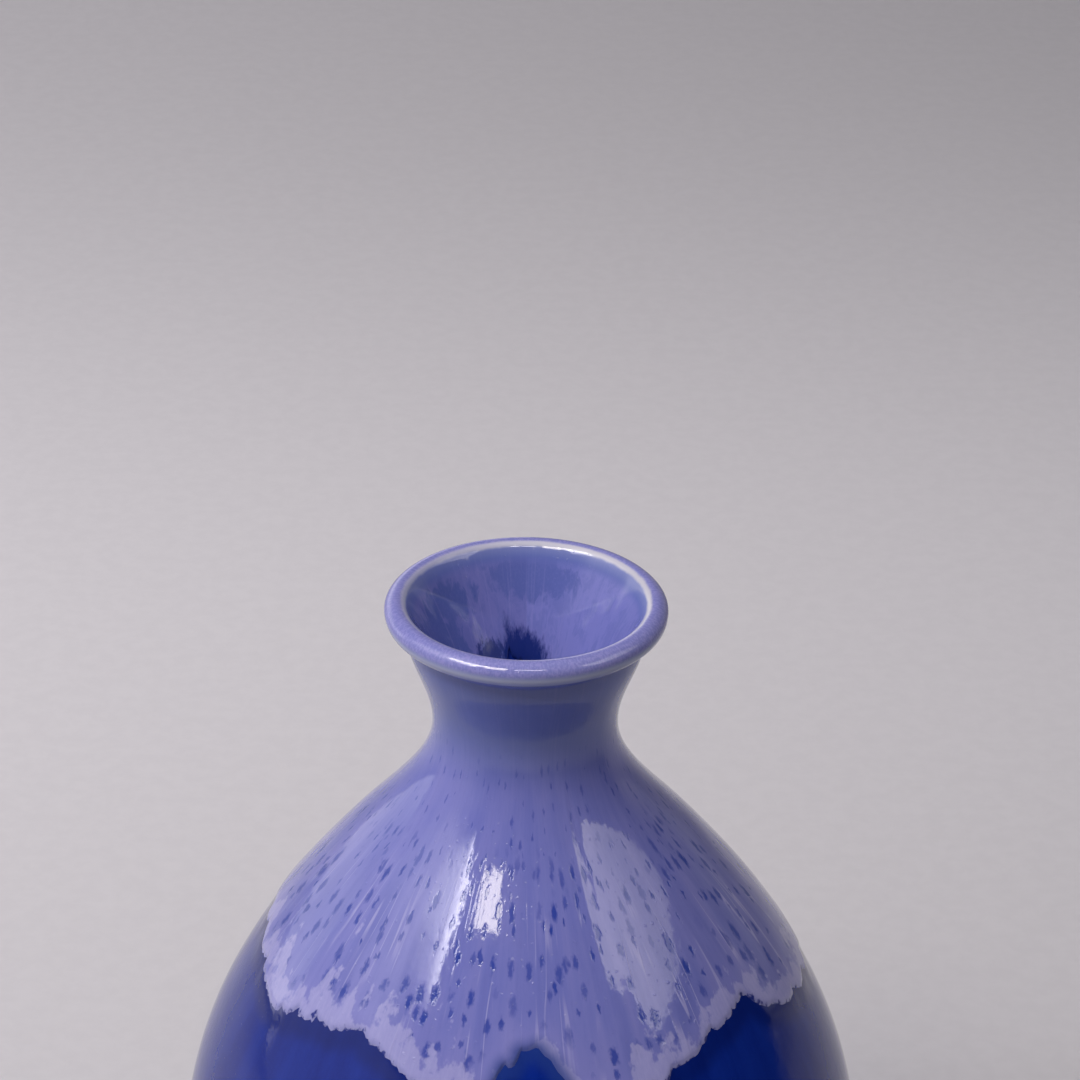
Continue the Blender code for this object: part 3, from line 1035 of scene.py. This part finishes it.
def stoneware_material():
    material, g = new_material("bare_stoneware")
    place = g.node("ShaderNodeTexCoord").outputs["Object"]
    grain = g.noise(place, 900.0, 4.0, 0.65)
    cloud = g.noise(place, 70.0, 3.0, 0.5)
    colour = g.mix(g.step(cloud, 0.35, 0.7), CLAY_DARK, CLAY_PALE)
    colour = g.mix(g.times(g.step(grain, 0.55, 0.72), 0.5), colour, CLAY_GRAIN)
    grog = g.node("ShaderNodeTexVoronoi", {"Vector": place, "Scale": 900.0})
    flecks = g.step(grog.outputs["Distance"], 0.22, 0.10)
    colour = g.mix(g.times(flecks, 0.35), colour, CLAY_GROG)
    normal = g.bump(grain, 0.5, 0.15 * MM)
    normal = g.bump(flecks, 0.4, 0.08 * MM, normal)
    finish_material(g, colour, g.step(grain, 0.3, 0.7, 0.72, 0.9), normal, CLAY_IOR)
    return material


# ---------------------------------------------------------------- stage
def studio_direction(turn, elevation):
    a, e = math.radians(turn), math.radians(elevation)
    return Vector((math.sin(a) * math.cos(e), -math.cos(a) * math.cos(e), math.sin(e)))


AIM = Vector((0, 0, 0.105))
KEY_DISTANCE = 0.95
KEY_TINT = (1.0, 0.920, 0.790)
SIDE_TINT = (1.0, 0.945, 0.895)


def softbox(name, turn, elevation, width, height, roll, radiance, tint):
    """An area light facing the shoulder, seen from it as a panel of this radiance."""
    data = bpy.data.lights.new(name, "AREA")
    data.shape = "RECTANGLE"
    data.size, data.size_y = width, height
    data.energy = radiance * math.pi * width * height
    data.spread = math.pi
    data.color = tint
    light = bpy.data.objects.new(name, data)
    way = studio_direction(turn, elevation)
    own_turn = Matrix.Rotation(math.radians(roll), 3, "Z").to_quaternion()
    light.location = AIM + way * KEY_DISTANCE
    light.rotation_mode = "QUATERNION"
    light.rotation_quaternion = way.to_track_quat("Z", "Y") @ own_turn
    bpy.context.scene.collection.objects.link(light)


def make_lights():
    softbox("key", -29.9, 54.5, 0.205, 0.26, 12, 12.6, KEY_TINT)
    softbox("key_left", -60, 54, 0.40, 0.19, 18, 11.0, SIDE_TINT)
    softbox("key_right", 5, 57, 0.30, 0.09, 0, 10.0, SIDE_TINT)


# Radiance of each part of the studio round the pot.
AMBIENT = 0.015
LEFT_BACK = 1.15
LOW_LEFT = 0.50
RIGHT_BACK = 0.28
LEFT = 1.6
ROOF = 0.32
WINDOW = 15.5
STUDIO_TINT = (1.0, 0.955, 0.975)
PANEL_TINT = (1.0, 0.935, 0.900)
# What the camera sees beyond the floor.
BACKDROP = (0.47, 0.45, 0.475)


def window_field(g, turn, rise):
    """A narrow window: sharp on its right side, fading to the left."""
    past = g.math("MAXIMUM", g.math("SUBTRACT", -47.5, turn), 0.0)
    fade = g.math("EXPONENT", g.times(past, -0.085))
    return g.times(g.times(fade, g.step(turn, -46.0, -47.5)), g.band(rise, 33.0, 43.5, 50.0, 56.0))


def panel_field(g, turn, rise):
    """The large panel on the right, brightest along its near side, its lower edge stepping down."""
    side = g.line(rise, 0.25, 43.0)
    panel = g.times(g.step(g.math("SUBTRACT", turn, side), -0.6, 0.6), g.step(turn, 108.0, 106.5))
    low_edge = g.line(turn, -0.07, g.step(turn, 62.0, 54.0, 32.0, 41.0))
    panel = g.times(panel, g.step(g.math("SUBTRACT", rise, low_edge), -0.5, 0.5))
    panel = g.times(panel, g.step(rise, 54.0, 46.0))
    return g.times(panel, g.line(turn, -0.042, 5.32))


def make_world():
    """The studio by turn and rise in degrees: dark but for its panels."""
    world = bpy.data.worlds.new("studio")
    bpy.context.scene.world = world
    world.use_nodes = True
    g = Graph(world.node_tree)
    way = g.node("ShaderNodeTexCoord").outputs["Generated"]
    x, y, z = g.node("ShaderNodeSeparateXYZ", {0: way}).outputs
    turn = g.times(g.math("ARCTAN2", x, g.times(y, -1.0)), 180 / math.pi)
    rise = g.times(g.math("ARCSINE", z), 180 / math.pi)
    left_back = g.times(g.step(turn, -106.0, -114.0), g.step(rise, 28.0, 8.0))
    low_left = g.times(g.band(turn, -124.0, -112.0, -62.0, -30.0), g.step(rise, 30.0, 16.0))
    right_back = g.times(g.step(turn, 108.0, 114.0), g.step(rise, 20.0, 0.0))
    left = g.times(g.band(turn, -122.0, -104.0, -74.0, -52.0), g.band(rise, 17.0, 34.0, 60.0, 80.0))
    level = g.line(left_back, LEFT_BACK, AMBIENT)
    level = g.line(low_left, LOW_LEFT, level)
    level = g.line(right_back, RIGHT_BACK, level)
    level = g.line(left, LEFT, level)
    level = g.line(g.step(rise, 50.0, 75.0), ROOF, level)
    level = g.line(window_field(g, turn, rise), WINDOW, level)
    panel = panel_field(g, turn, rise)
    level = g.math("ADD", level, panel)
    tint = g.mix(g.math("MINIMUM", panel, 1.0), STUDIO_TINT, PANEL_TINT)
    studio = g.node("ShaderNodeBackground", {"Color": tint, "Strength": level})
    plain = g.node("ShaderNodeBackground", {"Color": BACKDROP, "Strength": 1.0})
    seen = g.node("ShaderNodeLightPath").outputs["Is Camera Ray"]
    both = g.node("ShaderNodeMixShader", {0: seen, 1: studio.outputs[0], 2: plain.outputs[0]})
    g.node("ShaderNodeOutputWorld", {"Surface": both.outputs[0]})


FLOOR_REACH = 4.0
FLOOR_DROP = 0.2 * MM
PAPER_DARK = (0.590, 0.588, 0.640)
PAPER_PALE = (0.610, 0.608, 0.660)
PAPER_IOR = 1.3
UNLIT = (0.02, 0.02, 0.025)
# The pool of light behind the pot: the middle of it in y, its half width and its strength.
POOL_MIDDLE = 0.29
POOL_WIDTH = 0.21
POOL = 0.27


def make_floor():
    """A plain pale sheet. Seen in the glaze, its front part lies in the camera's own shade."""
    mesh = bpy.data.meshes.new("floor")
    corners = [(x * FLOOR_REACH, y * FLOOR_REACH, 0) for x, y in ((-1, -1), (1, -1), (1, 1), (-1, 1))]
    mesh.from_pydata(corners, [], [(0, 1, 2, 3)])
    floor = bpy.data.objects.new("floor", mesh)
    floor.location.z = -FLOOR_DROP
    bpy.context.scene.collection.objects.link(floor)
    material, g = new_material("pale_paper")
    place = g.node("ShaderNodeNewGeometry").outputs["Position"]
    fibre = g.noise(place, 260.0, 3.0, 0.6)
    paper = g.mix(g.step(fibre, 0.3, 0.7), PAPER_DARK, PAPER_PALE)
    x, y, _ = g.node("ShaderNodeSeparateXYZ", {0: place}).outputs
    # a soft pool of light behind the pot, and less light to the right
    pool = g.math("DIVIDE", g.math("SUBTRACT", y, POOL_MIDDLE), POOL_WIDTH)
    pool = g.math("EXPONENT", g.times(g.times(pool, pool), -1.0))
    fall = g.line(g.math("MAXIMUM", g.math("MINIMUM", x, 0.40), -0.16), -0.75, 0.84)
    tone = g.line(pool, POOL, fall)
    paper = g.node("ShaderNodeVectorMath", {0: paper, 1: tone}, operation="MULTIPLY").outputs[0]
    # beyond the pot's surroundings the front is an unlit room, seen only in the glaze
    turn = g.math("ARCTAN2", x, g.times(y, -1.0))
    front = g.times(g.step(turn, math.radians(112), math.radians(104)), g.step(turn, -1.1, -0.6))
    away = g.node("ShaderNodeVectorMath", {0: place}, operation="LENGTH").outputs["Value"]
    unseen = g.math("SUBTRACT", 1.0, g.node("ShaderNodeLightPath").outputs["Is Camera Ray"])
    shade = g.times(g.times(front, g.step(away, 0.22, 0.50)), unseen)
    colour = g.mix(g.times(shade, 0.95), paper, UNLIT)
    finish_material(g, colour, 0.85, g.bump(fibre, 0.1, 0.1 * MM), PAPER_IOR)
    mesh.materials.append(material)


PITCH = math.radians(27.58)
ROLL = math.radians(0.695)
SENSOR = 36.0
LENS = 147.6
CLIP = (0.01, 50.0)
CAMERA_PLACE = Vector((1.80, -545.11, 443.95)) * MM


def make_camera():
    """Looks down at the mouth from the front, turned a little about its own axis."""
    data = bpy.data.cameras.new("camera")
    data.sensor_width = SENSOR
    data.lens = LENS
    data.clip_start, data.clip_end = CLIP
    camera = bpy.data.objects.new("camera", data)
    forward = Vector((0, math.cos(PITCH), -math.sin(PITCH)))
    side = Vector((1, 0, 0))
    up = side.cross(forward)
    right = side * math.cos(ROLL) + up * math.sin(ROLL)
    top = up * math.cos(ROLL) - side * math.sin(ROLL)
    turned = Matrix((right, top, -forward)).transposed().to_4x4()
    turned.translation = CAMERA_PLACE
    camera.matrix_world = turned
    bpy.context.scene.collection.objects.link(camera)
    bpy.context.scene.camera = camera


bpy.context.scene.view_settings.view_transform = "Standard"
cobalt = cobalt_material("cobalt_base", True)
cobalt_inside = cobalt_material("cobalt_inside", False)
overglaze_piece(overglaze_material())
base_glaze_piece(cobalt)
liner_piece(cobalt_inside)
clay_piece(stoneware_material())
foot_glaze_piece(cobalt_inside)
make_world()
make_floor()
make_camera()
make_lights()
